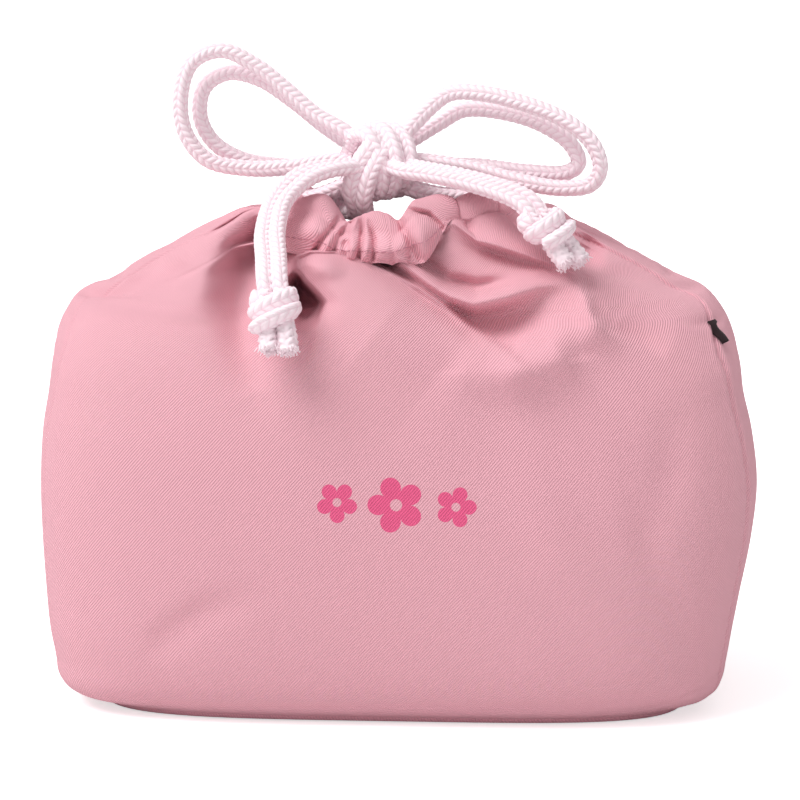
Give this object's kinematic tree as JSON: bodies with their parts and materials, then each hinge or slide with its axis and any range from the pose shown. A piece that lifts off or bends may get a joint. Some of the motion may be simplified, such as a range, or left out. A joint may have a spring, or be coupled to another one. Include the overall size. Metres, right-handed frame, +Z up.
{
  "type": "drawstring lunch bag",
  "caption": "Soft drawstring lunch bag with flat base, side gussets, gathered cord channel and a bow of doubled cords with knotted tails.",
  "frame": {"origin": "middle of the flat base, on the surface that the bag stands on, taken without the free cords", "axes": "+X to the right as seen from the front, along the bag's width; +Y towards the back; +Z up; the front faces -Y"},
  "size_m": [0.23, 0.1328, 0.2093],
  "materials": {
    "cloth": "matte pink twill with a soft sheen",
    "base": "matte pink twill",
    "lining": "smooth plain weave",
    "cord": "soft braided cord",
    "ribbon": "dark woven ribbon"
  },
  "bodies": {
    "bag": {"front_panel": "cloth", "back_panel": "cloth", "left_gusset": "cloth", "right_gusset": "cloth", "base_panel": "base", "lining_wall": "lining", "lining_floor": "lining", "front_channel": "cloth", "back_channel": "cloth", "side_tab": "ribbon", "left_cord_run": "cord", "right_cord_run": "cord", "left_lead_front": "cord", "left_lead_back": "cord", "right_lead_front": "cord", "right_lead_back": "cord", "bow_knot_core": "cord", "bow_knot_wrap": "cord"},
    "left_loop": {"left_loop_front": "cord", "left_loop_back": "cord"},
    "right_loop": {"right_loop_front": "cord", "right_loop_back": "cord"},
    "left_tail": {"left_tail_outer": "cord", "left_tail_inner": "cord", "left_stopper_knot": "cord", "left_cord_end_outer": "cord", "left_cord_end_inner": "cord"},
    "right_tail": {"right_tail_front": "cord", "right_tail_back": "cord", "right_stopper_knot": "cord", "right_cord_end_front": "cord", "right_cord_end_back": "cord"}
  },
  "joints": [
    {"name": "left_loop_lift", "type": "hinge", "parent": "bag", "child": "left_loop", "pos_m": [-0.008, -0.001, 0.171], "axis": [0, 1, 0], "range_deg": [0, 25]},
    {"name": "right_loop_lift", "type": "hinge", "parent": "bag", "child": "right_loop", "pos_m": [-0.008, -0.001, 0.171], "axis": [0, -1, 0], "range_deg": [0, 25]},
    {"name": "left_tail_lift", "type": "hinge", "parent": "bag", "child": "left_tail", "pos_m": [-0.008, -0.001, 0.171], "axis": [-0.8601, 0.5101, 0], "range_deg": [0, 30]},
    {"name": "right_tail_lift", "type": "hinge", "parent": "bag", "child": "right_tail", "pos_m": [-0.008, -0.001, 0.171], "axis": [-0.4512, -0.8924, 0], "range_deg": [0, 25]}
  ]
}
